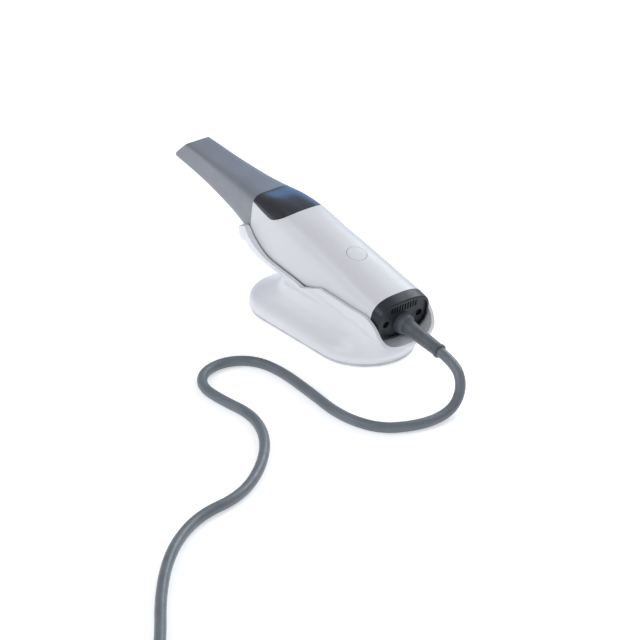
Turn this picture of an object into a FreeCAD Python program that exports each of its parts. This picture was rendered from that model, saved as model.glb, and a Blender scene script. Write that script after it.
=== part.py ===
"""Handheld intraoral camera lying in its desk cradle, with its cable and USB plug.

Millimetres. Row frame: +X towards the camera's tip, +Y to its left, +Z up, origin at the centre of
the cradle's underside. The camera itself is drawn in its own frame (s forwards from its rear face,
w to the left, u up from its axis) and is then laid in the cradle, tip raised.
"""
import FreeCAD, Part
import math
import os

from FreeCAD import Placement, Rotation, Vector

# ---- driving dimensions of the camera, in its own frame ----
TILT = 9.0                      # degrees, tip up
REAR = Vector(-62.5, 0, 28.9)   # centre of the rear face, in the row frame
CAP_DEPTH = 7.0
JOINT = 121.0                   # where the sleeve meets the housing
TIP_END = 202.0
MID_RISE = 0.8                  # the widest line lies this far above mid height
RING_POINTS = 48
STATION_STEP = 7.0
# station, half width, top, bottom, squareness of the upper half, squareness of the lower half
STATIONS = [
    (0.0, 18.1, 13.0, -10.6, 2.8, 2.9),
    (7.0, 18.5, 14.0, -11.2, 2.8, 2.8),
    (25.0, 18.6, 16.0, -13.6, 2.8, 2.6),
    (40.0, 18.4, 17.8, -15.4, 2.8, 2.4),
    (55.0, 18.1, 19.5, -17.2, 2.8, 2.4),
    (70.0, 17.8, 20.8, -18.4, 2.8, 2.6),
    (90.0, 17.3, 21.9, -19.2, 3.4, 2.9),
    (106.0, 16.1, 20.8, -18.6, 4.2, 3.3),
    (121.0, 14.0, 17.9, -14.6, 5.6, 3.5),
    (133.0, 12.3, 16.6, -10.2, 5.4, 3.9),
    (144.0, 11.3, 15.9, -7.0, 4.8, 4.8),
    (157.0, 10.4, 14.6, -4.7, 6.0, 6.0),
    (170.0, 9.6, 13.8, -3.2, 7.0, 7.0),
    (185.0, 9.1, 13.2, -2.2, 8.0, 8.0),
    (202.0, 8.9, 12.2, -1.5, 8.5, 8.5),
]
SHELL_WALL = 2.0
COVER_SPLIT = -14.6             # the underside cover is the skin below this height
COVER_FROM, COVER_TO = 54.0, 111.0
SEAM = 0.15                     # parting lines between fixed covers

# ---- gloss panel ahead of the button ----
PANEL_THICK = 1.0
# station and height along the panel's side and rear edges
PANEL_EDGE = [(122.0, 13.8), (113.0, 13.6), (106.0, 13.4), (102.5, 13.4), (99.5, 14.3), (96.5, 16.1),
              (93.8, 18.1), (92.2, 19.5), (91.1, 20.7), (90.3, 21.6), (90.0, 22.8)]


# ---- button ----
BUTTON_AT = 44.0
BUTTON_RADIUS = 5.7
BUTTON_GAP = 0.25
BUTTON_SLOPE = 6.0              # degrees, the top surface rises towards the tip here
BUTTON_TRAVEL = 0.6
BUTTON_DEPTH = 6.0              # how far the bore goes down
BUTTON_SKIN = 1.4               # thickness of the cap over its plunger
PLUNGER_RADIUS, PLUNGER_LENGTH = 2.2, 3.0
SWITCH_REST_GAP = 0.15
SWITCH_SIDE, SWITCH_HEIGHT = 6.0, 2.2
SWITCH_BOARD = (16.0, 14.0, 1.0)

# ---- underside cover screws ----
COVER_SCREW_STATIONS = (61.0, 104.0)
COVER_SCREW_W = 5.0
COVER_HEAD_RADIUS, COVER_HEAD_HOLE, COVER_SHANK_RADIUS = 1.85, 1.9, 1.1
COVER_HEAD_LOW, COVER_HEAD_HIGH, COVER_SCREW_LENGTH = 0.9, 2.0, 7.0

# ---- rear cap, vents, screws, cable boot ----
RIM_WIDTH = 1.6
FACE_RECESS = 1.2
CAP_WALL = 2.4
VENT_COUNT = 10
VENT_PITCH = 1.9
VENT_WIDTH = 1.0
VENT_LOW, VENT_HIGH = 5.8, 10.4
REAR_SCREW_W, REAR_SCREW_U = 11.8, 0.3
SCREW_RECESS_RADIUS, SCREW_RECESS_DEPTH = 2.2, 1.9
REAR_HEAD_RADIUS, REAR_HEAD_THICK = 1.9, 0.7
REAR_SHANK_RADIUS, REAR_SHANK_LENGTH = 0.95, 6.0
CROSS_LENGTH, CROSS_WIDTH, CROSS_DEPTH = 2.2, 0.5, 0.4
BOOT_HOLE_RADIUS = 4.8
BOOT_U = -2.0
BOOT_END = -31.0
# station and radius along the boot's taper, after its domed root
BOOT_TAPER = [(-9.0, 4.25), (-20.0, 3.95), (-29.6, 3.7), (-29.8, 4.1), (-30.9, 4.1), (BOOT_END, 3.9)]
BOOT_NECK, BOOT_FLANGE, BOOT_FLANGE_THICK = 4.75, 6.2, 2.0
DOME_LENGTH, DOME_RISE = 4.6, 1.65
CORD_INSERT = 3.0
CORD_DIAMETER = 5.8

# ---- inside the housing: from and to along s, w and u ----
BENCH_BOX = (62.0, 113.0, -30.0, 30.0, -5.0, -3.0)
PROJECTOR_BOX = (66.0, 90.0, -6.0, 6.0, -3.0, 9.0)
PROJECTOR_U = 3.0
PROJECTOR_BARREL = (5.0, 89.0, 96.0)          # radius, from, to
PROJECTOR_GLASS = (4.2, 96.0, 100.0)
CAMERA_BOX = (94.0, 104.0, 7.0, 12.0, -3.0, 5.0)
CAMERA_W, CAMERA_U = 9.5, 1.0
CAMERA_BARREL = (2.4, 103.0, 108.0)
CAMERA_GLASS = (2.1, 108.0, 110.0)
BOARD_BOX = (15.0, 60.0, -30.0, 30.0, -6.0, -4.6)
BOARD_MARGIN = 0.6
CHIP_BOXES = [(36.0, 48.0, -6.0, 6.0, -4.6, -3.0), (51.0, 57.0, -9.0, -2.0, -4.6, -3.4),
              (51.0, 57.0, 2.0, 9.0, -4.6, -3.4), (17.0, 22.0, 4.0, 11.0, -4.6, -1.0)]
SINK_BASE = (35.0, 49.0, -8.0, 8.0, -3.0, -1.6)
FIN_COUNT, FIN_PITCH, FIN_THICK, FIN_TOP = 8, 2.1, 1.0, 3.6
CLAMP_LENGTH, CLAMP_HALF, CLAMP_LOW, CLAMP_TOP, CLAMP_BORE = 6.0, 8.0, -7.6, 3.6, 2.0

# ---- fan ----
FAN_AT, FAN_LOW, FAN_HIGH = 21.5, 4.6, 11.0
FAN_HALF_LENGTH, FAN_HALF_WIDTH, FAN_SHEET = 11.0, 10.0, 0.8
CHAMBER_RADIUS, INTAKE_RADIUS, OUTLET_HALF = 8.6, 5.5, 7.5
AXLE_RADIUS, HUB_BORE, HUB_RADIUS = 0.9, 0.95, 3.0
BLADE_REACH, BLADE_THICK, BLADE_COUNT = 8.0, 0.7, 11
ROTOR_CLEAR = 0.4

# ---- sleeve (autoclavable tip) ----
TIP_WALL = 1.3
CUT_TOP = Vector(193.0, 0, 12.6)
CUT_LOW = Vector(202.0, 0, 2.0)
PORT_FROM, PORT_TO, PORT_HALF = 181.5, 196.5, 5.4
NOSE_END = 148.0
PORT_ROUND = 2.0
NOSE_CLEAR = 0.3
NOSE_WALL = 1.5
COLLAR_LENGTH = 8.0
GROOVE_FROM, GROOVE_TO, GROOVE_DEPTH = 126.0, 127.6, 0.7
SEAL_PROUD, SEAL_SIDE_GAP = 0.15, 0.1
WINDOW_FROM, WINDOW_TO = 145.8, 147.4
MIRROR_HALF, MIRROR_THICK, MIRROR_GAP = 6.2, 1.0, 0.05
MIRROR_TOP_MARGIN, MIRROR_LOW_MARGIN = 3.2, 0.8

# ---- cradle ----
BASE_LENGTH, BASE_WIDTH = 117.0, 59.2
PAD_THICK = 0.8
PLATE_TOP = 2.9
TROUGH_GAP = 0.7
TROUGH_RINGS = 18
BLEND_RADIUS = 3.0              # between the foot and the trough
# station and height of the wings' edge, and of the front lip's edge, seen from the side
WING_EDGE = [(-7.6, -13.8), (-7.2, -11.2), (-6.3, -9.0), (-5.2, -7.0), (-3.8, -4.8), (-2.0, -2.3), (0.2, 0),
             (3, 2.0), (5.8, 3.1), (9, 3.5), (20, 2.2), (32, 0.9), (41, -0.4), (49, -1.6)]
LIP_EDGE = [(67.5, -12.8), (74, -11.6), (81, -11.6), (88.5, -11.8), (95.5, -12.0), (101, -11.6),
            (105, -10.3), (109, -8.8), (113, -7.2), (116.5, -5.3), (119, -3.6), (122, -2.2)]
LIP_END = (128.0, -5.2)         # the lip falls away ahead of its last point
PLATE_INSET, GRIP_INSET = 0.8, 4.0
POCKET_INSET, POCKET_TOP = 6.0, 8.6
BALLAST_INSET, BALLAST_TOP = 8.0, 8.0
BASE_SCREW_X, BASE_SCREW_Y = 36.0, 16.0
BOSS_RADIUS, BOSS_CLEAR = 3.4, 0.6
BASE_SCREW_RADIUS, BASE_SCREW_HOLE, BASE_SCREW_TOP = 1.25, 1.45, 8.8
BASE_HEAD_RADIUS, BASE_HEAD_HOLE, BASE_HEAD_TOP = 2.5, 2.7, 2.0
PAD_STRIPS = (30.0, 88.0)       # stations where the soft strips start
STRIP_LENGTH, STRIP_HALF, STRIP_GAP = 14.0, 7.0, 0.3
# station and thickness of the trough's wall
TROUGH_WALLS = [(0.0, 1.9), (45.0, 1.9), (75.0, 2.0), (92.0, 2.1), (104.0, 2.6), (114.0, 3.6), (JOINT, 3.2)]
CRADLE_FRONT = 127.0
CRADLE_REAR = -12.0
# height, front end, rear end and half width of the flared foot
FOOT_RINGS = [
    (PLATE_TOP, 58.5, -58.5, 29.6),
    (5.6, 58.5, -58.5, 29.6),
    (7.8, 58.0, -58.0, 29.1),
    (9.6, 56.2, -57.0, 27.8),
    (11.0, 53.2, -56.6, 25.8),
    (12.8, 48.0, -57.0, 23.2),
    (15.5, 41.5, -58.4, 21.0),
    (19.5, 36.0, -61.0, 19.6),
    (25.0, 32.0, -63.0, 18.8),
    (31.0, 29.0, -64.0, 18.8),
]

# ---- cord: hand-set corners of its route on the table, from the boot to the coil ----
FLOOR_Z = 2.95
ROUTE = [
    (-105.3, 0, 20.1), (-114.8, 3.4, 12.6), (-120.1, 12.4, 5.3), (-121.9, 25.6, FLOOR_Z),
    (-119.6, 41, FLOOR_Z), (-110, 57.5, FLOOR_Z), (-87, 65, FLOOR_Z), (-56, 61.5, FLOOR_Z),
    (-27, 59.5, FLOOR_Z), (-9.5, 64, FLOOR_Z), (-0.5, 77.5, FLOOR_Z), (-3, 94, FLOOR_Z),
    (-15.5, 104, FLOOR_Z), (-33, 104, FLOOR_Z), (-57, 100.5, FLOOR_Z), (-81, 110, FLOOR_Z),
    (-103, 131, FLOOR_Z), (-117, 155, FLOOR_Z), (-118, 182, FLOOR_Z), (-133, 209, FLOOR_Z),
    (-160, 235, FLOOR_Z), (-194, 259, FLOOR_Z),
]
COIL_CENTRE = Vector(-274.2, 267.9, 0)
COIL_OUTER = 44.0               # centre line of the outermost turn
COIL_TURNS = 6.386
COIL_PITCH = 6.0
COIL_BOTTOM = 0.6
COIL_ENTRY = 51.0               # degrees round the coil where the cord arrives
# how far along its heading the tail starts down, is down, and ends in the plug
TAIL_BEND, TAIL_DOWN, TAIL_REACH = 12.0, 25.0, 38.0
TAIL_Z = 4.5
TIE_ANGLE = 141.0
TIE_WIDTH, TIE_THICK = 9.0, 0.5
TIE_SLACK_OUT, TIE_SLACK_IN, TIE_SLACK_UP = 0.7, 0.9, 0.05

# ---- USB plug, along X from the cord's end ----
RELIEF_LENGTH, RELIEF_RADII = 9.0, (3.6, 4.2)
GRIP_LENGTH, GRIP_WIDTH, GRIP_HEIGHT, GRIP_ROUND = 30.0, 15.6, 8.6, 2.2
SHELL_LENGTH, SHELL_WIDTH, SHELL_HEIGHT, SHELL_SHEET = 16.0, 12.0, 4.5, 0.3
TONGUE_LENGTH, TONGUE_WIDTH, TONGUE_HEIGHT, TONGUE_LOW = 14.5, 11.0, 1.8, -1.9


def blend(station):
    """Section sizes at any station, by a smooth curve through the listed stations."""
    station = min(max(station, STATIONS[0][0]), STATIONS[-1][0])
    last = len(STATIONS) - 1
    k = max(i for i in range(last) if STATIONS[i][0] <= station)
    low, high = STATIONS[k], STATIONS[k + 1]
    before, after = STATIONS[max(k - 1, 0)], STATIONS[min(k + 2, last)]
    span = high[0] - low[0]
    t = (station - low[0]) / span
    sizes = []
    for a, b, c, d in zip(before[1:], low[1:], high[1:], after[1:]):
        start = (c - a) / (high[0] - before[0]) * span
        finish = (d - b) / (after[0] - low[0]) * span
        rise = (2 * t**3 - 3 * t**2 + 1) * b + (t**3 - 2 * t**2 + t) * start
        sizes.append(rise + (3 * t**2 - 2 * t**3) * c + (t**3 - t**2) * finish)
    return sizes


def rounded_ring(at, half_width, top, bottom, squareness, grow=0.0):
    """Closed rounded-box outline across the camera."""
    upper, lower = squareness
    middle = (top + bottom) / 2 + MID_RISE
    points = []
    for index in range(RING_POINTS):
        angle = 2 * math.pi * index / RING_POINTS
        across, up = math.cos(angle), math.sin(angle)
        power = upper if up > 0 else lower
        reach = (abs(across) ** power + abs(up) ** power) ** (-1 / power)
        height = top - middle if up > 0 else middle - bottom
        points.append(Vector(at, across * reach * (half_width + grow),
                             middle + up * reach * (height + grow)))
    curve = Part.BSplineCurve()
    curve.interpolate(Points=points, PeriodicFlag=True,
                      Parameters=[i / RING_POINTS for i in range(RING_POINTS + 1)])
    return Part.Wire(curve.toShape())


def ring(at, grow=0.0, shape_at=None):
    """Section of the camera's skin at a station, or the section of shape_at moved there."""
    half_width, top, bottom, upper, lower = blend(at if shape_at is None else shape_at)
    return rounded_ring(at, half_width, top, bottom, (upper, lower), grow)


def skin(start, stop, grow=0.0):
    """Solid inside the camera's skin between two stations, made larger or smaller by grow."""
    count = max(2, math.ceil((stop - start) / STATION_STEP))
    places = [start + (stop - start) * i / count for i in range(count + 1)]
    return Part.makeLoft([ring(at, grow) for at in places], True, False)


def block(s0, s1, w0, w1, u0, u1):
    """Box between two stations, two widths and two heights."""
    return Part.makeBox(s1 - s0, w1 - w0, u1 - u0, Vector(s0, w0, u0))


def rod(radius, start, stop):
    """Cylinder from one point to another."""
    start, stop = Vector(*start), Vector(*stop)
    run = stop - start
    return Part.makeCylinder(radius, run.Length, start, run)


def upright_prism(corners, half):
    """Solid across the camera from corners in its middle plane."""
    outline = [Vector(p.x, -half, p.z) for p in corners]
    return Part.Face(Part.makePolygon(outline + [outline[0]])).extrude(Vector(0, 2 * half, 0))


def smooth_edge(places):
    """Smooth curve in the middle plane through (station, height) pairs."""
    curve = Part.BSplineCurve()
    curve.interpolate([Vector(s, 0, u) for s, u in places])
    return curve.toShape()


def straight_edges(corners):
    return [Part.makeLine(a, b) for a, b in zip(corners, corners[1:])]


def across(edges, half):
    """Solid across the camera from edges in its middle plane."""
    face = Part.Face(Part.Wire(Part.__sortEdges__(edges)))
    face.translate(Vector(0, -half, 0))
    return face.extrude(Vector(0, 2 * half, 0))


def in_row(shape):
    """The shape laid in the cradle: camera frame to row frame."""
    placed = shape.copy()
    placed.Placement = Placement(REAR, Rotation(Vector(0, 1, 0), -TILT)).multiply(placed.Placement)
    return placed


def row_point(s, w, u):
    """A point of the camera's frame in the row frame."""
    return REAR + Rotation(Vector(0, 1, 0), -TILT).multVec(Vector(s, w, u))


def both_sides(shape):
    """The shape and its mirror image across the camera's middle plane."""
    return Part.makeCompound([shape, shape.mirror(Vector(0, 0, 0), Vector(0, 1, 0))])


# ------------------------------------------------------------------ housing
def shell():
    """Skin of the grip, open at both ends."""
    return skin(CAP_DEPTH, JOINT).cut(skin(CAP_DEPTH - 1, JOINT + 1, -SHELL_WALL))


def cover_zone(gap=0.0):
    """Space of the underside cover."""
    zone = block(COVER_FROM - gap, COVER_TO + gap, -30, 30, -40, COVER_SPLIT + gap)
    across = [e for e in zone.Edges if e.BoundBox.YLength > 50 and e.BoundBox.ZMin > COVER_SPLIT - 1]
    return zone.makeFillet(2.5, across)


def panel_zone(gap=0.0):
    """Space of the gloss panel, bounded below and behind by one curve."""
    places = [(s - gap, u - gap) for s, u in PANEL_EDGE]
    (front, low), (rear, high) = places[0], places[-1]
    around = [Vector(rear, 0, high), Vector(rear, 0, 30), Vector(front, 0, 30), Vector(front, 0, low)]
    return across([smooth_edge(places)] + straight_edges(around), 30)


def button_axis():
    """A point under the button's middle, and the direction straight out of the surface."""
    lean = math.radians(BUTTON_SLOPE)
    out = Vector(-math.sin(lean), 0, math.cos(lean))
    surface = Vector(BUTTON_AT, 0, blend(BUTTON_AT)[1])
    return surface, out


def button_bore(radius):
    """Round bore square to the surface, from well above it to BUTTON_DEPTH below."""
    surface, out = button_axis()
    return Part.makeCylinder(radius, 2 * BUTTON_DEPTH, surface - out * BUTTON_DEPTH, out)


def main_housing():
    recess = panel_zone(SEAM).cut(skin(CAP_DEPTH, JOINT + 2, -PANEL_THICK))
    body = shell().cut(recess).cut(cover_zone(SEAM))
    return body.cut(button_bore(BUTTON_RADIUS + BUTTON_GAP))


def cover_screw_places():
    """Station, width and skin height of each screw in the underside cover."""
    return [(s, w, blend(s)[2]) for s in COVER_SCREW_STATIONS for w in (-COVER_SCREW_W, COVER_SCREW_W)]


def bottom_cover():
    cover = shell().common(cover_zone())
    for s, w, low in cover_screw_places():
        cover = cover.cut(rod(COVER_HEAD_HOLE, (s, w, low - 2), (s, w, low + COVER_SCREW_LENGTH)))
    return cover


def top_panel():
    layer = skin(CAP_DEPTH, JOINT).cut(skin(CAP_DEPTH - 1, JOINT + 1, -PANEL_THICK + 0.02))
    return layer.common(panel_zone())


def cover_screws():
    """Four screws that hold the underside cover."""
    screws = []
    for s, w, low in cover_screw_places():
        top = low + COVER_HEAD_HIGH
        head = rod(COVER_HEAD_RADIUS, (s, w, low + COVER_HEAD_LOW), (s, w, top))
        shank = rod(COVER_SHANK_RADIUS, (s, w, top), (s, w, low + COVER_SCREW_LENGTH))
        screws.append(head.fuse(shank))
    return Part.makeCompound(screws)


# ------------------------------------------------------------------ button
def button_cap():
    """Disc with the housing's own top surface, and a short plunger under it."""
    surface, out = button_axis()
    disc = shell().common(button_bore(BUTTON_RADIUS))
    foot = surface - out * (BUTTON_SKIN + PLUNGER_LENGTH)
    plunger = Part.makeCylinder(PLUNGER_RADIUS, PLUNGER_LENGTH, foot, out)
    return disc.fuse(plunger).removeSplitter()


def button_switch():
    """Tact switch and its little board under the button."""
    surface, out = button_axis()
    top = surface - out * (BUTTON_SKIN + PLUNGER_LENGTH + BUTTON_TRAVEL + SWITCH_REST_GAP)
    half = SWITCH_SIDE / 2
    length, width, thick = SWITCH_BOARD
    can = block(-half, half, -half, half, -SWITCH_HEIGHT, 0)
    board_low = -SWITCH_HEIGHT - thick
    unit = can.fuse(block(-length / 2, length / 2, -width / 2, width / 2, board_low, -SWITCH_HEIGHT))
    unit.Placement = Placement(top, Rotation(Vector(0, 0, 1), out))
    return unit


# ------------------------------------------------------------------ rear cap
def rear_screw_places():
    return [(side * REAR_SCREW_W, REAR_SCREW_U) for side in (-1, 1)]


def rear_cap():
    cap = skin(0, CAP_DEPTH)
    rounded = [e for e in cap.Edges if e.BoundBox.XMax < 0.5 and e.Length > 50]
    cap = cap.makeFillet(1.0, rounded)
    face_zone = block(-1, FACE_RECESS, -30, 30, -30, 30)
    cap = cap.cut(skin(0, FACE_RECESS + 1, -RIM_WIDTH).common(face_zone))
    cap = cap.cut(skin(FACE_RECESS + CAP_WALL, CAP_DEPTH + 1, -CAP_WALL))
    first = -VENT_PITCH * (VENT_COUNT - 1) / 2
    for index in range(VENT_COUNT):
        edge = first + VENT_PITCH * index - VENT_WIDTH / 2
        cap = cap.cut(block(-1, CAP_DEPTH, edge, edge + VENT_WIDTH, VENT_LOW, VENT_HIGH))
    for w, u in rear_screw_places():
        cap = cap.cut(rod(SCREW_RECESS_RADIUS, (-1, w, u), (FACE_RECESS + SCREW_RECESS_DEPTH, w, u)))
        cap = cap.cut(rod(REAR_SHANK_RADIUS, (0, w, u), (CAP_DEPTH, w, u)))
    return cap.cut(rod(BOOT_HOLE_RADIUS, (-1, 0, BOOT_U), (CAP_DEPTH, 0, BOOT_U)))


def rear_screws():
    """Two small cross-head screws at the bottom of their recesses."""
    screws = []
    seat = FACE_RECESS + SCREW_RECESS_DEPTH
    long, short = CROSS_LENGTH / 2, CROSS_WIDTH / 2
    for w, u in rear_screw_places():
        screw = rod(REAR_HEAD_RADIUS, (seat - REAR_HEAD_THICK, w, u), (seat, w, u))
        screw = screw.fuse(rod(REAR_SHANK_RADIUS, (seat, w, u), (seat + REAR_SHANK_LENGTH, w, u)))
        for half_w, half_u in ((long, short), (short, long)):
            bottom = seat - REAR_HEAD_THICK + CROSS_DEPTH
            screw = screw.cut(block(seat - 2, bottom, w - half_w, w + half_w, u - half_u, u + half_u))
        screws.append(screw)
    return Part.makeCompound(screws)


def turned(profile):
    """Solid of revolution about the cable's axis from (station, radius) pairs."""
    outline = [Vector(s, 0, BOOT_U + r) for s, r in profile]
    wire = Part.makePolygon(outline + [outline[0]])
    return Part.Face(wire).revolve(Vector(0, 0, BOOT_U), Vector(1, 0, 0), 360)


def cable_boot():
    """Rubber strain relief: a flange inside the cap, a domed root, a long taper and an end lip."""
    face, inner = FACE_RECESS, FACE_RECESS + CAP_WALL
    seat = inner + 0.05
    flange = [(inner + BOOT_FLANGE_THICK, BOOT_FLANGE), (seat, BOOT_FLANGE), (seat, BOOT_NECK)]
    turns = [math.radians(angle) for angle in range(0, 91, 15)]
    dome = [(face - DOME_LENGTH * math.sin(a), BOOT_NECK + DOME_RISE * math.cos(a)) for a in turns]
    profile = [(inner + BOOT_FLANGE_THICK, 0)] + flange + [(face, BOOT_NECK)] + dome + BOOT_TAPER
    boot = turned(profile + [(BOOT_END, 0)])
    bore = rod(CORD_DIAMETER / 2, (BOOT_END - 1, 0, BOOT_U), (BOOT_END + CORD_INSERT, 0, BOOT_U))
    return boot.cut(bore)


def cable_clamp():
    """Bracket that grips the cable's core behind the boot's flange."""
    start = FACE_RECESS + CAP_WALL + BOOT_FLANGE_THICK + 0.1
    stop = start + CLAMP_LENGTH
    clamp = block(start, stop, -CLAMP_HALF, CLAMP_HALF, CLAMP_LOW, CLAMP_TOP)
    return clamp.cut(rod(CLAMP_BORE, (start - 1, 0, BOOT_U), (stop + 1, 0, BOOT_U)))


# ------------------------------------------------------------------ inside the housing
def interior(grow=0.0):
    """Space inside the housing, a little clear of its wall."""
    return skin(CAP_DEPTH + 1, JOINT - 0.5, -SHELL_WALL - SEAM + grow)


def barrel(sizes, w, u):
    """Cylinder along the camera from (radius, from, to)."""
    radius, start, stop = sizes
    return rod(radius, (start, w, u), (stop, w, u))


def optical_bench():
    """Metal plate across the front of the housing that carries projector and cameras."""
    return interior().common(block(*BENCH_BOX))


def projector_module():
    return block(*PROJECTOR_BOX).fuse(barrel(PROJECTOR_BARREL, 0, PROJECTOR_U))


def projector_lens():
    return barrel(PROJECTOR_GLASS, 0, PROJECTOR_U)


def camera_modules():
    return both_sides(block(*CAMERA_BOX).fuse(barrel(CAMERA_BARREL, CAMERA_W, CAMERA_U)))


def camera_lenses():
    return both_sides(barrel(CAMERA_GLASS, CAMERA_W, CAMERA_U))


def main_board():
    return interior(-BOARD_MARGIN).common(block(*BOARD_BOX))


def board_chips():
    """Processor, two memory chips and the cable's connector on the main board."""
    return Part.makeCompound([block(*sizes) for sizes in CHIP_BOXES])


def heat_sink():
    """Finned aluminium block on the processor."""
    s0, s1, w0, _, u0, u1 = SINK_BASE
    sink = block(*SINK_BASE)
    for index in range(FIN_COUNT):
        w = w0 + index * FIN_PITCH
        sink = sink.fuse(block(s0, s1, w, w + FIN_THICK, u1 - 0.1, FIN_TOP))
    return sink.removeSplitter()


def fan_rod(radius, low, high):
    """Cylinder on the fan's axis."""
    return rod(radius, (FAN_AT, 0, low), (FAN_AT, 0, high))


def fan_housing():
    """Flat blower case: round chamber, axle, intake above and outlet towards the vents."""
    floor, roof = FAN_LOW + FAN_SHEET, FAN_HIGH - FAN_SHEET
    rear, front = FAN_AT - FAN_HALF_LENGTH, FAN_AT + FAN_HALF_LENGTH
    case = block(rear, front, -FAN_HALF_WIDTH, FAN_HALF_WIDTH, FAN_LOW, FAN_HIGH)
    case = case.cut(fan_rod(CHAMBER_RADIUS, floor, roof))
    case = case.cut(fan_rod(INTAKE_RADIUS, roof - 1, FAN_HIGH + 1))
    case = case.cut(block(rear - 1, FAN_AT, -OUTLET_HALF, OUTLET_HALF, floor, roof))
    return case.fuse(fan_rod(AXLE_RADIUS, FAN_LOW, roof - FAN_SHEET))


def fan_rotor():
    """Hub and straight blades, free on the axle."""
    low, high = FAN_LOW + FAN_SHEET + ROTOR_CLEAR, FAN_HIGH - FAN_SHEET - ROTOR_CLEAR
    rotor = fan_rod(HUB_RADIUS, low, high)
    half = BLADE_THICK / 2
    blade = block(FAN_AT + HUB_RADIUS - 0.5, FAN_AT + BLADE_REACH, -half, half, low, high)
    for index in range(BLADE_COUNT):
        one = blade.copy()
        one.rotate(Vector(FAN_AT, 0, 0), Vector(0, 0, 1), index * 360 / BLADE_COUNT)
        rotor = rotor.fuse(one)
    return rotor.cut(fan_rod(HUB_BORE, low - 1, high + 1))


# ------------------------------------------------------------------ nose and sleeve
def slant():
    """Direction down the sleeve's slanted end, and the direction straight out of it."""
    down = (CUT_LOW - CUT_TOP).normalize()
    return down, Vector(-down.z, 0, down.x)


def end_cut(shift=0.0):
    """Wedge that slants the sleeve's end; a negative shift moves the slant inwards."""
    down, out = slant()
    top, low = CUT_TOP - down * 40 + out * shift, CUT_LOW + out * shift
    below, beyond = -30, TIP_END + 60
    far = [Vector(low.x, 0, below), Vector(beyond, 0, below), Vector(beyond, 0, top.z)]
    return upright_prism([top, low] + far, 20)


def nose_outer(grow, start, stop):
    return skin(start, stop, -TIP_WALL - NOSE_CLEAR + grow)


def nose_barrel():
    """Hollow nose on which the sleeve slides, with a collar inside the housing and a seal groove."""
    back = JOINT - COLLAR_LENGTH
    nose = nose_outer(0, back, NOSE_END).common(block(JOINT, NOSE_END + 1, -30, 30, -30, 30))
    nose = nose.fuse(skin(back, JOINT, -SHELL_WALL - 0.1))
    nose = nose.cut(nose_outer(-NOSE_WALL, back - 1, NOSE_END + 1))
    groove = nose_outer(1, GROOVE_FROM, GROOVE_TO)
    groove = groove.cut(nose_outer(-GROOVE_DEPTH, GROOVE_FROM - 1, GROOVE_TO + 1))
    return nose.cut(groove).removeSplitter()


def nose_seal():
    """Ring in the nose's groove that the sleeve grips."""
    start, stop = GROOVE_FROM + SEAL_SIDE_GAP, GROOVE_TO - SEAL_SIDE_GAP
    band = nose_outer(SEAL_PROUD, start, stop)
    return band.cut(nose_outer(-GROOVE_DEPTH + 0.05, start - 1, stop + 1))


def nose_window():
    """Clear plate that closes the front of the nose."""
    inside = nose_outer(-NOSE_WALL - 0.05, WINDOW_FROM - 2, NOSE_END)
    return inside.common(block(WINDOW_FROM, WINDOW_TO, -30, 30, -30, 30))


def tip_sleeve():
    hollow = skin(JOINT - 1, TIP_END - TIP_WALL, -TIP_WALL).cut(end_cut(-TIP_WALL))
    sleeve = skin(JOINT, TIP_END).cut(end_cut()).cut(hollow)
    port = block(PORT_FROM, PORT_TO, -PORT_HALF, PORT_HALF, -10, 3)
    corners = [e for e in port.Edges if e.BoundBox.ZLength > 12]
    return sleeve.cut(port.makeFillet(PORT_ROUND, corners))


def tip_mirror():
    """Slanted first-surface mirror bonded inside the sleeve's end."""
    down, out = slant()
    back = out * (TIP_WALL + MIRROR_GAP)
    near = CUT_TOP + down * MIRROR_TOP_MARGIN - back
    far = CUT_LOW - down * MIRROR_LOW_MARGIN - back
    sheet = out * MIRROR_THICK
    return upright_prism([near, far, far - sheet, near - sheet], MIRROR_HALF)


# ------------------------------------------------------------------ cradle
def stadium(z, front, rear, half):
    """Level outline with round ends."""
    x0, x1 = rear + half, front - half
    p = [Vector(x0, half, z), Vector(x1, half, z), Vector(x1, -half, z), Vector(x0, -half, z)]
    nose, tail = Vector(front, 0, z), Vector(rear, 0, z)
    return Part.Wire([Part.makeLine(p[0], p[1]), Part.Arc(p[1], nose, p[2]).toShape(),
                      Part.makeLine(p[2], p[3]), Part.Arc(p[3], tail, p[0]).toShape()])


def plate(z0, z1, inset):
    """Level slab with the foot's outline, smaller by inset."""
    half_length, half = BASE_LENGTH / 2 - inset, BASE_WIDTH / 2 - inset
    return Part.Face(stadium(z0, half_length, -half_length, half)).extrude(Vector(0, 0, z1 - z0))


def base_rods(radius, z0, z1):
    """Upright cylinders on the axes of the four base screws."""
    sides = (-1, 1)
    places = [(i * BASE_SCREW_X, j * BASE_SCREW_Y) for i in sides for j in sides]
    return Part.makeCompound([rod(radius, (x, y, z0), (x, y, z1)) for x, y in places])


def wall_at(station):
    """Thickness of the trough's wall, straight between the listed stations."""
    for (s0, wall0), (s1, wall1) in zip(TROUGH_WALLS, TROUGH_WALLS[1:]):
        if station <= s1:
            return wall0 + (wall1 - wall0) * (max(station, s0) - s0) / (s1 - s0)
    return TROUGH_WALLS[-1][1]


def cradle_skin(grow, rear, front, walled=False):
    """The camera's skin grown outwards and carried straight on past both ends; walled adds the wall."""
    places = [JOINT * i / TROUGH_RINGS for i in range(TROUGH_RINGS + 1)]
    rings = [ring(at, grow + (wall_at(at) if walled else 0)) for at in places]
    tail, nose = Part.Face(rings[0]), Part.Face(rings[-1])
    body = Part.makeLoft(rings, True, False)
    body = body.fuse(tail.extrude(Vector(rear, 0, 0)))
    return body.fuse(nose.extrude(Vector(front - JOINT, 0, 0)))


def trough_hollow(grow=TROUGH_GAP):
    """Room for the camera, open past both ends of the trough."""
    return cradle_skin(grow, CRADLE_REAR - 20, CRADLE_FRONT + 20)


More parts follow.
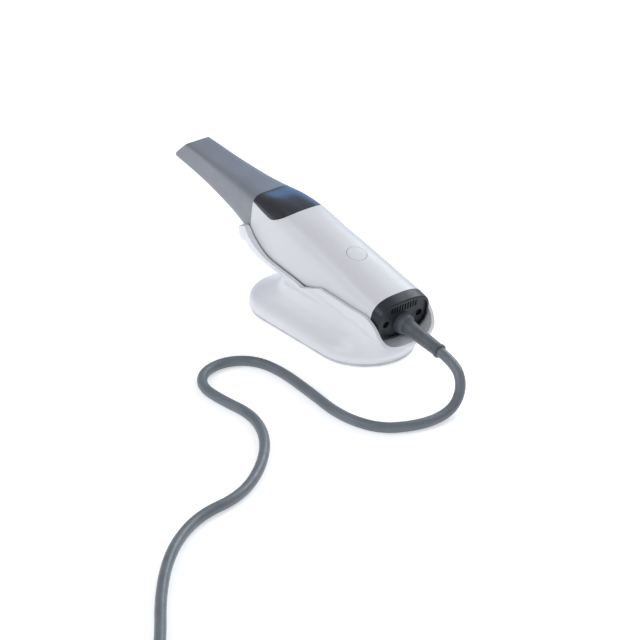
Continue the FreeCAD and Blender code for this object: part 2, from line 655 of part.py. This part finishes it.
def above_rim():
    """Space above the cradle's edge, seen from the side: low by the grip, high wings behind."""
    wing_rear, wing_front = (Vector(s, 0, u) for s, u in (WING_EDGE[0], WING_EDGE[-1]))
    lip_rear, lip_front = (Vector(s, 0, u) for s, u in (LIP_EDGE[0], LIP_EDGE[-1]))
    tail, nose = Vector(-30, 0, wing_rear.z), Vector(LIP_END[0], 0, LIP_END[1])
    around = [tail, Vector(-30, 0, 60), Vector(150, 0, 60), Vector(150, 0, -40), Vector(133, 0, -22), nose]
    edges = straight_edges([wing_rear] + around + [lip_front]) + straight_edges([lip_rear, wing_front])
    return across(edges + [smooth_edge(LIP_EDGE), smooth_edge(WING_EDGE)], 45)


def blended(body, foot, trough):
    """The moulding with its foot and trough joined by a soft hollow."""
    seam = []
    for edge in body.Edges:
        middle = Part.Vertex(edge.valueAt((edge.FirstParameter + edge.LastParameter) / 2))
        if max(part.Shells[0].distToShape(middle)[0] for part in (foot, trough)) < 0.001:
            seam.append(edge)
    return body.makeFillet(BLEND_RADIUS, seam)


def stand_shell():
    """Flared foot and trough in one moulding, open below for the ballast."""
    foot = Part.makeLoft([stadium(*sizes) for sizes in FOOT_RINGS], True, False)
    trough = in_row(cradle_skin(TROUGH_GAP, CRADLE_REAR, CRADLE_FRONT, walled=True))
    body = blended(foot.fuse(trough), foot, trough)
    for space in (trough_hollow(), above_rim()):
        body = body.cut(in_row(space))
    pocket = plate(PLATE_TOP, POCKET_TOP, POCKET_INSET).cut(base_rods(BOSS_RADIUS, 0, 20))
    return body.cut(base_rods(BASE_SCREW_RADIUS, 0, POCKET_TOP + 0.4)).cut(pocket)


def base_plate():
    """Screwed-on underside of the foot."""
    flat = plate(PAD_THICK, PLATE_TOP, PLATE_INSET).cut(base_rods(BASE_SCREW_HOLE, 0, 5))
    return flat.cut(base_rods(BASE_HEAD_HOLE, 0, BASE_HEAD_TOP))


def base_screws():
    heads = base_rods(BASE_HEAD_RADIUS, PAD_THICK + 0.1, BASE_HEAD_TOP)
    shanks = base_rods(BASE_SCREW_RADIUS, BASE_HEAD_TOP, BASE_SCREW_TOP)
    return Part.makeCompound([head.fuse(shank) for head, shank in zip(heads.Solids, shanks.Solids)])


def grip_pad():
    """Non-slip sheet under the foot."""
    return plate(0, PAD_THICK, GRIP_INSET)


def ballast_weight():
    weight = plate(PLATE_TOP + 0.05, BALLAST_TOP, BALLAST_INSET)
    return weight.cut(base_rods(BOSS_RADIUS + BOSS_CLEAR, 0, 20))


def cradle_pads():
    """Soft strips on the trough's floor that carry the grip."""
    layer = trough_hollow().cut(trough_hollow(STRIP_GAP))
    strips = [layer.common(block(s, s + STRIP_LENGTH, -STRIP_HALF, STRIP_HALF, -30, -8)) for s in PAD_STRIPS]
    return in_row(Part.makeCompound(strips))


# ------------------------------------------------------------------ cord and plug
def rounded_run(corners):
    """Straight runs joined by tangent arcs; prints the radii. Returns the wire and its length."""
    edges, radii = [], []
    here = corners[0]
    for before, corner, after in zip(corners, corners[1:], corners[2:]):
        into, away = (corner - before).normalize(), (after - corner).normalize()
        cut = 0.45 * min((corner - before).Length, (after - corner).Length)
        half_turn = into.getAngle(away) / 2
        radii.append(cut / math.tan(half_turn))
        start, stop = corner - into * cut, corner + away * cut
        inward = (away - into).normalize()
        middle = corner + inward * (radii[-1] / math.cos(half_turn) - radii[-1])
        edges += [Part.makeLine(here, start), Part.Arc(start, middle, stop).toShape()]
        here = stop
    edges.append(Part.makeLine(here, corners[-1]))
    print("bend radii", [round(r, 1) for r in radii])
    return Part.Wire(edges), sum(e.Length for e in edges)


def tube(corners, name):
    """Round cord along a route; prints its length and how far its volume is from section times length."""
    wire, length = rounded_run(corners)
    first = corners[1] - corners[0]
    profile = Part.Wire(Part.makeCircle(CORD_DIAMETER / 2, corners[0], first))
    solid = wire.makePipeShell([profile], True, False)
    section = math.pi * CORD_DIAMETER ** 2 / 4
    print(name, "length", round(length, 1), "volume ratio", round(solid.Volume / (section * length), 4))
    return solid


def outward(angle):
    """Level direction at an angle in degrees."""
    turn = math.radians(angle)
    return Vector(math.cos(turn), math.sin(turn), 0)


def coil_inner():
    """Centre line of the innermost turn: half the turns lie in each of the two layers."""
    return COIL_OUTER - COIL_PITCH * COIL_TURNS / 2


def cord_coil():
    """Outer shape of the put-away turns: two layers, side by side."""
    outer, inner = COIL_OUTER + CORD_DIAMETER / 2, coil_inner() - CORD_DIAMETER / 2
    base = COIL_CENTRE + Vector(0, 0, COIL_BOTTOM)
    height = 2 * CORD_DIAMETER
    return Part.makeCylinder(outer, height, base).cut(Part.makeCylinder(inner, height, base))


def cord_tube():
    start = row_point(BOOT_END + CORD_INSERT, 0, BOOT_U)
    end = COIL_CENTRE + outward(COIL_ENTRY) * COIL_OUTER + Vector(0, 0, FLOOR_Z + COIL_BOTTOM)
    corners = [start] + [Vector(*p) for p in ROUTE] + [end]
    return tube(corners, "cord_tube").cut(cord_coil())


def tail_start():
    """Where the last turn leaves the coil in the upper layer, and its heading."""
    angle = COIL_ENTRY + 360 * COIL_TURNS
    height = Vector(0, 0, COIL_BOTTOM + 1.5 * CORD_DIAMETER)
    return COIL_CENTRE + outward(angle) * COIL_OUTER + height, outward(angle + 90)


def cord_tail():
    start, heading = tail_start()
    drop = Vector(0, 0, TAIL_Z - start.z)
    corners = [start, start + heading * TAIL_BEND, start + heading * TAIL_DOWN + drop,
               start + heading * TAIL_REACH + drop]
    return tube(corners, "cord_tail").cut(cord_coil())


def at_tail(shape):
    """A plug piece drawn along +X from the cord's end, set at the end of the tail."""
    start, heading = tail_start()
    end = Vector(start.x, start.y, TAIL_Z) + heading * TAIL_REACH
    placed = shape.copy()
    placed.Placement = Placement(end, Rotation(Vector(1, 0, 0), heading))
    return placed


def plug_box(x0, x1, width, z0, z1):
    """Box about the plug's middle plane."""
    return block(x0, x1, -width / 2, width / 2, z0, z1)


def usb_overmould():
    """Moulded grip of the plug with a stepped strain relief."""
    relief = Part.makeCone(*RELIEF_RADII, RELIEF_LENGTH, Vector(0, 0, 0), Vector(1, 0, 0))
    face = RELIEF_LENGTH + GRIP_LENGTH
    grip = plug_box(RELIEF_LENGTH, face, GRIP_WIDTH, -GRIP_HEIGHT / 2, GRIP_HEIGHT / 2)
    grip = grip.makeFillet(GRIP_ROUND, [e for e in grip.Edges if e.BoundBox.XLength > 20])
    return at_tail(relief.fuse(grip))


def usb_shell():
    """Folded steel shell of the plug, hollow."""
    start, half = RELIEF_LENGTH + GRIP_LENGTH, SHELL_HEIGHT / 2
    outer = plug_box(start, start + SHELL_LENGTH, SHELL_WIDTH, -half, half)
    inner_half, inner_width = half - SHELL_SHEET, SHELL_WIDTH - 2 * SHELL_SHEET
    inner_start = start + SHELL_SHEET
    inner = plug_box(inner_start, start + SHELL_LENGTH + 1, inner_width, -inner_half, inner_half)
    return at_tail(outer.cut(inner))


def usb_tongue():
    start = RELIEF_LENGTH + GRIP_LENGTH + SHELL_SHEET
    tongue_top = TONGUE_LOW + TONGUE_HEIGHT
    return at_tail(plug_box(start, start + TONGUE_LENGTH, TONGUE_WIDTH, TONGUE_LOW, tongue_top))


def cord_tie():
    """Strap round the bundle on the coil's far side."""
    outer = COIL_OUTER + CORD_DIAMETER / 2 + TIE_SLACK_OUT
    inner = coil_inner() - CORD_DIAMETER / 2 - TIE_SLACK_IN
    low = COIL_BOTTOM - TIE_SLACK_UP
    high = COIL_BOTTOM + 2 * CORD_DIAMETER + TIE_SLACK_UP
    half = TIE_WIDTH / 2
    strap = block(inner - TIE_THICK, outer + TIE_THICK, -half, half, low - TIE_THICK, high + TIE_THICK)
    strap = strap.cut(block(inner, outer, -half - 1, half + 1, low, high))
    strap.Placement = Placement(COIL_CENTRE, Rotation(Vector(0, 0, 1), TIE_ANGLE))
    return strap


CAMERA_NODES = {
    "main_housing": main_housing, "bottom_cover": bottom_cover, "cover_screws": cover_screws,
    "top_panel": top_panel, "button_cap": button_cap, "button_switch": button_switch,
    "rear_cap": rear_cap, "rear_screws": rear_screws, "cable_boot": cable_boot,
    "cable_clamp": cable_clamp, "optical_bench": optical_bench, "projector_module": projector_module,
    "projector_lens": projector_lens, "camera_modules": camera_modules, "camera_lenses": camera_lenses,
    "main_board": main_board, "board_chips": board_chips, "heat_sink": heat_sink,
    "fan_housing": fan_housing, "fan_rotor": fan_rotor, "nose_barrel": nose_barrel,
    "nose_seal": nose_seal, "nose_window": nose_window, "tip_sleeve": tip_sleeve,
    "tip_mirror": tip_mirror,
}
ROW_NODES = {
    "stand_shell": stand_shell, "base_plate": base_plate, "base_screws": base_screws,
    "grip_pad": grip_pad, "ballast_weight": ballast_weight, "cradle_pads": cradle_pads,
    "cord_tube": cord_tube, "cord_coil": cord_coil, "cord_tail": cord_tail, "cord_tie": cord_tie,
    "usb_overmould": usb_overmould, "usb_shell": usb_shell, "usb_tongue": usb_tongue,
}


def main():
    os.makedirs("parts", exist_ok=True)
    shapes = {name: in_row(make()) for name, make in CAMERA_NODES.items()}
    shapes.update({name: make() for name, make in ROW_NODES.items()})
    for name, shape in shapes.items():
        box = shape.BoundBox
        print(f"{name:18s} solids {len(shape.Solids)} valid {shape.isValid()} volume {shape.Volume:9.1f} "
              f"x {box.XMin:7.1f} {box.XMax:7.1f} y {box.YMin:7.1f} {box.YMax:7.1f} "
              f"z {box.ZMin:6.2f} {box.ZMax:6.2f}")
        shape.exportStep(f"parts/{name}.step")


main()
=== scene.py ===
"""Looks of the handheld intraoral camera in its desk cradle, with its cable and USB plug.

Metres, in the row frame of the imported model: +X towards the camera's tip, +Z up, floor at zero.
"""
import math

import bmesh
import bpy
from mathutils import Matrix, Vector


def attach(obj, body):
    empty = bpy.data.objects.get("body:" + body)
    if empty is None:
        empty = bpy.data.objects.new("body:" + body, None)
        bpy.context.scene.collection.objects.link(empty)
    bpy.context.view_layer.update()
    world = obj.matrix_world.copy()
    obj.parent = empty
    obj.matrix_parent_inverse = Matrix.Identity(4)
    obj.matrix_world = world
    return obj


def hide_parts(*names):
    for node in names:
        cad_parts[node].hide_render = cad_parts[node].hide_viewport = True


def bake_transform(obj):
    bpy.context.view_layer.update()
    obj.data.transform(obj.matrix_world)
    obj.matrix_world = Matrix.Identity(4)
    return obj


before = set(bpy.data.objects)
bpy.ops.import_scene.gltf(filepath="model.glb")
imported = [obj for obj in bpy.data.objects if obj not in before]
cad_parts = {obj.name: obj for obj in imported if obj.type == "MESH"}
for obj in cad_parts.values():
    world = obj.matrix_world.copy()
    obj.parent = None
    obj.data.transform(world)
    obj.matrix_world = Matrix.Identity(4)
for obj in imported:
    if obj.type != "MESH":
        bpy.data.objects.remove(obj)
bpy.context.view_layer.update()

MM = 0.001

# ------------------------------------------------------------------ camera and cord
EYE = Vector((-937.26, 765.56, 653.22)) * MM
LOOK = Vector((0.6853, -0.5534, -0.4735))
LENS, SENSOR = 135, 36
NEAR, FAR = 0.05, 50

CORD_DIAMETER = 5.8 * MM
CORD_START = (-89.84, 0, 22.54)
FLOOR_Z = 2.95
ROUTE = [
    (-105.3, 0, 20.1), (-114.8, 3.4, 12.6), (-120.1, 12.4, 5.3), (-121.9, 25.6, FLOOR_Z),
    (-119.6, 41, FLOOR_Z), (-110, 57.5, FLOOR_Z), (-87, 65, FLOOR_Z), (-56, 61.5, FLOOR_Z),
    (-27, 59.5, FLOOR_Z), (-9.5, 64, FLOOR_Z), (-0.5, 77.5, FLOOR_Z), (-3, 94, FLOOR_Z),
    (-15.5, 104, FLOOR_Z), (-33, 104, FLOOR_Z), (-57, 100.5, FLOOR_Z), (-81, 110, FLOOR_Z),
    (-103, 131, FLOOR_Z), (-117, 155, FLOOR_Z), (-118, 182, FLOOR_Z), (-133, 209, FLOOR_Z),
    (-160, 235, FLOOR_Z), (-194, 259, FLOOR_Z),
]
COIL_CENTRE = Vector((-274.2, 267.9, 0))
COIL_OUTER = 44.0
COIL_TURNS = 6.386
COIL_PITCH = 6.0
COIL_LOW, COIL_HIGH = 3.55, 9.35
COIL_ENTRY = 51.0
COIL_STEPS = 16                 # control points in each turn
CLIMB_TURN = 0.35               # share of a turn in which the cord climbs to the upper layer
TAIL_BEND, TAIL_DOWN, TAIL_REACH = 12.0, 25.0, 38.0
TAIL_Z = 4.5
TUBE_SIDES = 7                  # bevel resolution of the tube
SPLINE_STEPS = 14               # steps from one control point to the next


def outward(angle):
    """Level direction at an angle in degrees."""
    turn = math.radians(angle)
    return Vector((math.cos(turn), math.sin(turn), 0))


def coil_points():
    """Turns wound inwards in the lower layer and outwards again on top of it."""
    half = COIL_TURNS / 2
    count = round(COIL_TURNS * COIL_STEPS)
    points = []
    for index in range(count + 1):
        turns = COIL_TURNS * index / count
        radius = COIL_OUTER - COIL_PITCH * (half - abs(half - turns))
        climb = min(max((turns - half) / CLIMB_TURN + 0.5, 0), 1)
        height = COIL_LOW + (COIL_HIGH - COIL_LOW) * climb
        points.append(COIL_CENTRE + outward(COIL_ENTRY + 360 * turns) * radius + Vector((0, 0, height)))
    return points


def tail_points(start):
    """From the last turn down to the plug."""
    heading = outward(COIL_ENTRY + 360 * COIL_TURNS + 90)
    drop = Vector((0, 0, TAIL_Z - start.z))
    return [start + heading * TAIL_BEND, start + heading * TAIL_DOWN + drop,
            start + heading * TAIL_REACH + drop]


def spline_piece(name, points, radius):
    """Round cord along one smooth spline; points are in millimetres."""
    curve = bpy.data.curves.new(name, "CURVE")
    curve.dimensions = "3D"
    curve.bevel_depth = 1       # metre, which each point's radius scales down
    curve.bevel_resolution = TUBE_SIDES
    curve.use_fill_caps = True
    spline = curve.splines.new("NURBS")
    spline.points.add(len(points) - 1)
    for knot, point in zip(spline.points, points):
        knot.co = (*(Vector(point) * MM), 1)
        knot.radius = radius
    spline.order_u = 3
    spline.use_endpoint_u = True
    spline.resolution_u = SPLINE_STEPS
    piece = bpy.data.objects.new(name, curve)
    bpy.context.collection.objects.link(piece)
    return piece


def make_camera():
    data = bpy.data.cameras.new("view")
    data.lens, data.sensor_width = LENS, SENSOR
    data.clip_start, data.clip_end = NEAR, FAR
    camera = bpy.data.objects.new("view", data)
    camera.location = EYE
    camera.rotation_mode = "QUATERNION"
    camera.rotation_quaternion = LOOK.to_track_quat("-Z", "Y")
    bpy.context.collection.objects.link(camera)
    bpy.context.scene.camera = camera


def tube_of(name, curve_piece):
    """The curve's tube as a mesh piece, and the points of the line that it follows."""
    tube = bpy.data.objects.new(name, bpy.data.meshes.new_from_object(curve_piece))
    bpy.context.collection.objects.link(tube)
    curve_piece.data.bevel_depth = 0
    line = bpy.data.meshes.new_from_object(curve_piece)
    path = [vertex.co.copy() for vertex in line.vertices]
    bpy.data.meshes.remove(line)
    bpy.data.objects.remove(curve_piece)
    return tube, path


def stays_on_desk(node):
    """A copy of a CAD node at the cord's far end, which stays put when the scanner is lifted."""
    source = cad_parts[node]
    piece = bpy.data.objects.new(node + "_piece", source.data.copy())
    bpy.context.collection.objects.link(piece)
    piece.matrix_world = source.matrix_world.copy()
    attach(piece, "stand")
    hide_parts(node)
    return piece


make_camera()
turns = coil_points()
route = spline_piece("route", [CORD_START] + ROUTE + turns + tail_points(turns[-1]), CORD_DIAMETER / 2)
cable, cable_path = tube_of("cable", route)
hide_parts("cord_tube", "cord_coil", "cord_tail")
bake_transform(cable)


# ------------------------------------------------------------------ materials
PATTERN_RANGE = 0.3, 0.7        # where nearly all of a noise pattern's values lie


class Paint:
    """One procedural material, with short calls for the nodes it is made of."""

    def __init__(self, name, color, metallic=0.0, **fixed):
        self.material = bpy.data.materials.new(name)
        self.material.use_nodes = True
        self.nodes, self.links = self.material.node_tree.nodes, self.material.node_tree.links
        self.shader = self.nodes["Principled BSDF"]
        self.shader.inputs["Metallic"].default_value = metallic
        for socket, value in fixed.items():
            self.shader.inputs[socket.replace("_", " ")].default_value = value
        self.color = color
        self.place = self.nodes.new("ShaderNodeTexCoord").outputs["Object"]
        self.normal = None

    def stretched(self, scale):
        """Coordinates squeezed by a factor along each axis, for drawn or brushed grain."""
        mapping = self.nodes.new("ShaderNodeMapping")
        mapping.inputs["Scale"].default_value = scale
        self.links.new(self.place, mapping.inputs["Vector"])
        return mapping.outputs["Vector"]

    def noise(self, scale, detail=3.0, place=None):
        """Cloudy pattern of a scale per metre."""
        node = self.nodes.new("ShaderNodeTexNoise")
        node.inputs["Scale"].default_value = scale
        node.inputs["Detail"].default_value = detail
        self.links.new(place or self.place, node.inputs["Vector"])
        return node.outputs["Fac"]

    def cells(self, scale, feature="F1"):
        """Cell pattern of a scale per metre."""
        node = self.nodes.new("ShaderNodeTexVoronoi")
        node.feature = feature
        node.inputs["Scale"].default_value = scale
        self.links.new(self.place, node.inputs["Vector"])
        return node.outputs["Distance"]

    def tint(self, value, low, high, start=0.35, stop=0.65):
        """Colour that drifts between two shades of the base."""
        node = self.nodes.new("ShaderNodeValToRGB")
        first, last = node.color_ramp.elements
        first.position, last.position = start, stop
        first.color = (*(c * low for c in self.color), 1)
        last.color = (*(min(c * high, 1) for c in self.color), 1)
        self.links.new(value, node.inputs["Fac"])
        self.links.new(node.outputs["Color"], self.shader.inputs["Base Color"])

    def rough(self, value, low, high):
        """Roughness between two values, spread over the middle of a pattern's range."""
        node = self.nodes.new("ShaderNodeMapRange")
        node.inputs["From Min"].default_value, node.inputs["From Max"].default_value = PATTERN_RANGE
        node.inputs["To Min"].default_value, node.inputs["To Max"].default_value = low, high
        self.links.new(value, node.inputs["Value"])
        self.links.new(node.outputs["Result"], self.shader.inputs["Roughness"])

    def bump(self, value, depth):
        """Adds relief of a depth in metres on top of what is there."""
        node = self.nodes.new("ShaderNodeBump")
        node.inputs["Strength"].default_value = 1
        node.inputs["Distance"].default_value = depth
        self.links.new(value, node.inputs["Height"])
        if self.normal:
            self.links.new(self.normal, node.inputs["Normal"])
        self.normal = node.outputs["Normal"]
        self.links.new(self.normal, self.shader.inputs["Normal"])


def satin_shell(name, color):
    """Sprayed shell: faint orange peel, hairline wipe marks, slow drift of shade."""
    paint = Paint(name, color, Coat_Weight=0.25, Coat_Roughness=0.3, IOR=1.49)
    paint.tint(paint.noise(35), 0.985, 1.01)
    paint.rough(paint.noise(160, 6), 0.36, 0.46)
    paint.bump(paint.noise(700, 2), 0.000002)
    paint.bump(paint.noise(5200, 2), 0.000001)
    return paint.material


def gloss_panel():
    """Piano-black cover with a deep clear coat and fine wipe marks."""
    paint = Paint("black_panel", (0.015, 0.017, 0.022), Coat_Weight=0.5, Coat_Roughness=0.16,
                  Specular_IOR_Level=0.4)
    paint.tint(paint.noise(60), 0.85, 1.2)
    wipes = paint.noise(420, 4, paint.stretched((0.15, 1.0, 1.0)))
    paint.rough(wipes, 0.2, 0.3)
    paint.bump(paint.noise(500, 2), 0.000008)
    return paint.material


def spark_plastic(name, color, rough, depth, cells=2600):
    """Spark-eroded moulding texture: tiny pits over a slow drift of shade."""
    paint = Paint(name, color, Specular_IOR_Level=0.4)
    paint.tint(paint.noise(90, 5), 0.9, 1.1)
    paint.rough(paint.noise(900, 4), *rough)
    paint.bump(paint.cells(cells), depth)
    paint.bump(paint.noise(260, 3), depth * 0.5)
    return paint.material


def sleeve_satin():
    """Satin sleeve: bead-blasted grain, slightly cloudy from cleaning, a soft sheen."""
    paint = Paint("sleeve_grey", (0.19, 0.206, 0.237), Coat_Weight=0.22, Coat_Roughness=0.28,
                  Sheen_Weight=0.12, Sheen_Roughness=0.4)
    paint.tint(paint.noise(45, 5), 0.95, 1.05)
    paint.rough(paint.noise(220, 5), 0.36, 0.5)
    paint.bump(paint.noise(3800, 2), 0.00001)
    paint.bump(paint.noise(320, 2), 0.00001)
    return paint.material


def soft_rubber(name, color, rough, depth, scale=1500):
    """Moulded elastomer: powdery surface, rubbed patches, fine skin."""
    paint = Paint(name, color, Sheen_Weight=0.1, Sheen_Roughness=0.5)
    paint.tint(paint.noise(120, 6), 0.88, 1.12)
    paint.rough(paint.noise(300, 5), *rough)
    paint.bump(paint.noise(scale, 4), depth)
    paint.bump(paint.cells(scale * 2.2), depth * 0.4)
    return paint.material


def jacket():
    """Extruded cable jacket: satin skin with faint drag lines and scuffs."""
    paint = Paint("cord_jacket", (0.135, 0.155, 0.178), Coat_Weight=0.12, Coat_Roughness=0.35)
    paint.tint(paint.noise(70, 6), 0.9, 1.1)
    paint.rough(paint.noise(260, 5), 0.36, 0.52)
    paint.bump(paint.noise(1800, 3), 0.00002)
    paint.bump(paint.noise(240, 3), 0.00003)
    return paint.material


def brushed(name, color, rough, along=(0.04, 1.0, 1.0), scale=3000):
    """Metal with drawn grain along one axis and handling marks."""
    paint = Paint(name, color, metallic=1.0)
    grain = paint.noise(scale, 3, paint.stretched(along))
    paint.tint(grain, 0.9, 1.06)
    paint.rough(paint.noise(380, 5), *rough)
    paint.bump(grain, 0.000006)
    return paint.material


def circuit_board():
    """Solder mask over copper tracks."""
    paint = Paint("board_green", (0.02, 0.16, 0.06), Coat_Weight=0.3, Coat_Roughness=0.15)
    paint.tint(paint.cells(420, "DISTANCE_TO_EDGE"), 1.5, 0.8, 0.02, 0.08)
    paint.rough(paint.noise(300), 0.25, 0.4)
    paint.bump(paint.cells(420, "DISTANCE_TO_EDGE"), 0.00003)
    return paint.material


def clear_glass():
    """Coated optical glass with the faintest cleaning haze."""
    paint = Paint("lens_glass", (0.72, 0.84, 0.92), Transmission_Weight=0.85, IOR=1.52,
                  Coat_Weight=0.4, Coat_Roughness=0.02)
    paint.tint(paint.noise(200), 0.96, 1.0)
    paint.rough(paint.noise(500, 4), 0.015, 0.05)
    paint.bump(paint.noise(400, 2), 0.000002)
    return paint.material


def first_surface():
    """Front-silvered mirror."""
    paint = Paint("mirror", (0.9, 0.91, 0.92), metallic=1.0)
    paint.tint(paint.noise(90), 0.98, 1.0)
    paint.rough(paint.noise(700, 5), 0.01, 0.045)
    paint.bump(paint.noise(300, 1), 0.000001)
    return paint.material


def cast_metal():
    """Sand-cast ballast under thin paint."""
    paint = Paint("ballast_steel", (0.1, 0.1, 0.105), metallic=0.6)
    paint.tint(paint.noise(150, 8), 0.7, 1.3)
    paint.rough(paint.noise(400, 6), 0.5, 0.75)
    paint.bump(paint.noise(900, 6), 0.00012)
    return paint.material


def woven_strap():
    """Hook-and-loop strap: short loops in rows."""
    paint = Paint("tie_strap", (0.035, 0.036, 0.042), Sheen_Weight=0.6, Sheen_Roughness=0.6)
    paint.tint(paint.noise(1600, 4), 0.6, 1.6)
    paint.rough(paint.noise(800), 0.75, 0.95)
    paint.bump(paint.cells(1900), 0.0003)
    return paint.material


FINISHES = {
    "white_shell": satin_shell("white_shell", (0.68, 0.675, 0.695)),
    # stand: the shell's white made brighter, painted light for the extra light that falls on the foot
    "white_stand_painted_light": satin_shell("white_stand_painted_light", (0.765, 0.765, 0.795)),
    "black_panel": gloss_panel(),
    "charcoal_cap": spark_plastic("charcoal_cap", (0.012, 0.015, 0.021), (0.34, 0.46), 0.00001),
    "sleeve_grey": sleeve_satin(),
    "boot_rubber": soft_rubber("boot_rubber", (0.09, 0.099, 0.115), (0.38, 0.55), 0.00001),
    "cord_jacket": jacket(),
    # screw steel darkened almost to black: painted shade of the screws' recesses
    "screw_steel": brushed("screw_steel", (0.03, 0.03, 0.033), (0.3, 0.45)),
    "bench_metal": brushed("bench_metal", (0.62, 0.63, 0.65), (0.25, 0.4)),
    "board_green": circuit_board(),
    "chip_black": spark_plastic("chip_black", (0.015, 0.015, 0.017), (0.45, 0.6), 0.00002),
    "lens_glass": clear_glass(),
    "module_black": spark_plastic("module_black", (0.02, 0.02, 0.022), (0.35, 0.5), 0.00001, 3400),
    "mirror": first_surface(),
    "seal_rubber": soft_rubber("seal_rubber", (0.02, 0.02, 0.022), (0.45, 0.6), 0.00001),
    "pad_rubber": soft_rubber("pad_rubber", (0.3, 0.3, 0.32), (0.6, 0.8), 0.00004, 1100),
    "ballast_steel": cast_metal(),
    "base_grey": spark_plastic("base_grey", (0.52, 0.52, 0.55), (0.35, 0.5), 0.000015),
    "plug_plastic": spark_plastic("plug_plastic", (0.03, 0.032, 0.036), (0.4, 0.55), 0.00003, 1800),
    "plug_steel": brushed("plug_steel", (0.66, 0.66, 0.67), (0.12, 0.24), (1.0, 0.05, 1.0)),
    "tongue_white": spark_plastic("tongue_white", (0.7, 0.7, 0.7), (0.4, 0.5), 0.00001),
    "tie_strap": woven_strap(),
}
NODE_FINISHES = {
    "main_housing": "white_shell", "bottom_cover": "white_shell", "cover_screws": "screw_steel",
    "top_panel": "black_panel", "button_cap": "white_shell", "button_switch": "chip_black",
    "rear_cap": "charcoal_cap", "rear_screws": "screw_steel", "cable_boot": "boot_rubber",
    "cable_clamp": "module_black", "optical_bench": "bench_metal", "projector_module": "module_black",
    "projector_lens": "lens_glass", "camera_modules": "module_black", "camera_lenses": "lens_glass",
    "main_board": "board_green", "board_chips": "chip_black", "heat_sink": "bench_metal",
    "fan_housing": "module_black", "fan_rotor": "chip_black", "nose_barrel": "module_black",
    "nose_seal": "seal_rubber", "nose_window": "lens_glass", "tip_sleeve": "sleeve_grey",
    "tip_mirror": "mirror", "stand_shell": "white_stand_painted_light", "base_plate": "base_grey",
    "base_screws": "screw_steel", "grip_pad": "pad_rubber", "ballast_weight": "ballast_steel",
    "cradle_pads": "pad_rubber", "cord_tie": "tie_strap", "usb_overmould": "plug_plastic",
    "usb_shell": "plug_steel", "usb_tongue": "tongue_white",
}


def paint_nodes():
    for node, finish in NODE_FINISHES.items():
        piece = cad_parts[node]
        if not piece.material_slots:
            piece.data.materials.append(FINISHES[finish])
        for place in piece.material_slots:
            place.material = FINISHES[finish]


paint_nodes()
cable.data.materials.clear()
cable.data.materials.append(FINISHES["cord_jacket"])
far_pieces = [stays_on_desk(node) for node in ("usb_overmould", "usb_shell", "usb_tongue", "cord_tie")]


# ------------------------------------------------------------------ floor, light
def floor_finish():
    """Plain pale studio sweep, lit from behind as a light table is."""
    paint = Paint("floor", (0.86, 0.865, 0.875), Emission_Color=(1, 1, 1, 1), Emission_Strength=0.45)
    paint.tint(paint.noise(3), 0.995, 1.005)
    paint.rough(paint.noise(40), 0.75, 0.85)
    return paint.material


FLOOR_HALF = 6


def make_floor():
    mesh = bpy.data.meshes.new("floor")
    shape = bmesh.new()
    bmesh.ops.create_grid(shape, x_segments=1, y_segments=1, size=FLOOR_HALF)
    shape.to_mesh(mesh)
    shape.free()
    floor = bpy.data.objects.new("floor", mesh)
    floor.data.materials.append(floor_finish())
    bpy.context.collection.objects.link(floor)


def softbox(name, place, target, size, watts, color):
    """Rectangular area light that faces a target."""
    data = bpy.data.lights.new(name, "AREA")
    data.shape = "RECTANGLE"
    data.size, data.size_y = size
    data.energy, data.color = watts, color
    lamp = bpy.data.objects.new(name, data)
    lamp.location = place
    lamp.rotation_mode = "QUATERNION"
    lamp.rotation_quaternion = (Vector(target) - Vector(place)).to_track_quat("-Z", "Y")
    bpy.context.collection.objects.link(lamp)


SKY_COLOR, SKY_STRENGTH = (0.93, 0.95, 1.0, 1), 0.4
# name, place, target, width and height, watts, colour
SOFTBOXES = [
    ("fill", (0.2, 1.15, 0.9), (0, 0, 0.03), (0.9, 0.7), 7.0, (0.92, 0.95, 1.0)),
    ("key", (0.2, -1.1, 0.85), (0, 0, 0.03), (0.9, 0.6), 10, (0.93, 0.97, 1.0)),
    ("top", (0.3, 0.1, 1.4), (0, 0, 0), (1.0, 1.0), 1.0, (1, 1, 1)),
    ("rear", (-1.2, 0.45, 0.5), (0, 0, 0.03), (0.5, 0.4), 2.0, (0.95, 0.97, 1.0)),
    ("blue", (1.0, -1.05, 0.47), (0, 0, 0.05), (0.7, 0.55), 1.5, (0.12, 0.42, 1.0)),
]


def make_light():
    world = bpy.data.worlds.new("studio")
    world.use_nodes = True
    sky = world.node_tree.nodes["Background"]
    sky.inputs["Color"].default_value = SKY_COLOR
    sky.inputs["Strength"].default_value = SKY_STRENGTH
    bpy.context.scene.world = world
    for box in SOFTBOXES:
        softbox(*box)


make_floor()
make_light()
bpy.context.scene.view_settings.view_transform = "Standard"
